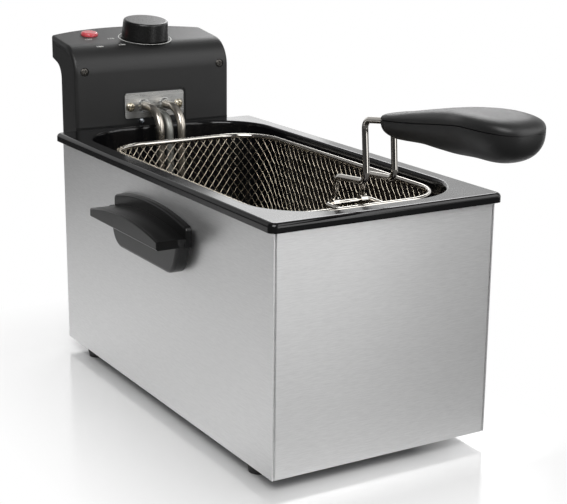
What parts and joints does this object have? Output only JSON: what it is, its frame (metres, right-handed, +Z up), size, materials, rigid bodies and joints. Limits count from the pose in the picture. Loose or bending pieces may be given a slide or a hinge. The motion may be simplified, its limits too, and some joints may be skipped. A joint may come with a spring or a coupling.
{
  "type": "deep fryer",
  "caption": "Table-top deep fryer: steel housing, lift-out enamelled oil tank, hook-on control head with immersion heater, and a wire basket with a folding handle.",
  "frame": {"origin": "middle of the overall box, on the table under the feet", "axes": "+X to the right seen from the front, +Y to the back where the control head is, +Z up"},
  "size_m": [0.262, 0.6375, 0.3124],
  "materials": {
    "brushed_sheet": "brushed along the length",
    "zinc_sheet": "plain zinc-coated sheet",
    "foot_rubber": "matt",
    "black_moulding": "satin, finely grained",
    "black_enamel": "gloss vitreous enamel",
    "heater_steel": "satin drawn tube",
    "plate_nickel": "brushed nickel plate",
    "basket_wire": "bright tinned wire",
    "screw_plate": "nickel plated",
    "black_screw": "black oxide",
    "red_lens": "clear red",
    "brass_shaft": "turned",
    "inner_plastic": "natural moulding",
    "lead_cover": "silicone sleeve",
    "reset_plastic": "gloss"
  },
  "bodies": {
    "housing": {"side_wrapper": "brushed_sheet", "front_panel": "brushed_sheet", "base_plate": "zinc_sheet", "feet": "foot_rubber", "foot_screws": "screw_plate", "side_handle_left": "black_moulding", "side_handle_right": "black_moulding", "side_handle_screws": "screw_plate", "guide_rails": "zinc_sheet", "interlock_pin": "zinc_sheet"},
    "tank": {"oil_tank": "black_enamel"},
    "head": {"head_front_cover": "black_moulding", "head_rear_shell": "black_moulding", "head_screws": "black_screw", "element_plate": "plate_nickel", "plate_screws": "screw_plate", "element_collars": "plate_nickel", "earth_screw": "screw_plate", "heating_element": "heater_steel", "sensor_tube": "heater_steel", "element_clamps": "heater_steel", "heater_terminals": "plate_nickel", "thermostat": "inner_plastic", "indicator_lens": "red_lens", "indicator_lamp": "inner_plastic", "thermal_cutout": "inner_plastic", "micro_switch": "black_moulding", "terminal_block": "inner_plastic", "cable_gland": "black_moulding", "lead_wires": "lead_cover"},
    "knob": {"knob": "black_moulding", "thermostat_shaft": "brass_shaft"},
    "reset": {"reset_button": "reset_plastic"},
    "basket": {"basket_rim": "basket_wire", "basket_mesh_front": "basket_wire", "basket_mesh_back": "basket_wire", "basket_mesh_left": "basket_wire", "basket_mesh_right": "basket_wire", "basket_mesh_corners": "basket_wire", "basket_mesh_bottom": "basket_wire", "basket_base_wires": "basket_wire", "handle_bracket": "basket_wire"},
    "handle": {"handle_wire": "basket_wire", "grip_top": "black_moulding", "grip_bottom": "black_moulding", "grip_screws": "black_screw"}
  },
  "joints": [
    {"name": "tank_lift", "type": "slide", "parent": "housing", "child": "tank", "axis": [0, 0, 1], "range_m": [0, 0.16]},
    {"name": "head_lift", "type": "slide", "parent": "tank", "child": "head", "axis": [0, 0, 1], "range_m": [0, 0.13]},
    {"name": "basket_lift", "type": "slide", "parent": "head", "child": "basket", "axis": [0, 0, 1], "range_m": [0, 0.14]},
    {"name": "handle_fold", "type": "hinge", "parent": "basket", "child": "handle", "pos_m": [0, -0.1065, 0.2036], "axis": [-1, 0, 0], "range_deg": [0, 165]},
    {"name": "knob_turn", "type": "hinge", "parent": "head", "child": "knob", "pos_m": [0.0055, 0.2725, 0.2915], "axis": [0, -0.1392, 0.9903], "range_deg": [-250, 0]},
    {"name": "reset_press", "type": "slide", "parent": "head", "child": "reset", "axis": [0, -1, 0], "range_m": [0, 0.002], "stiffness_N_per_m": 600}
  ]
}
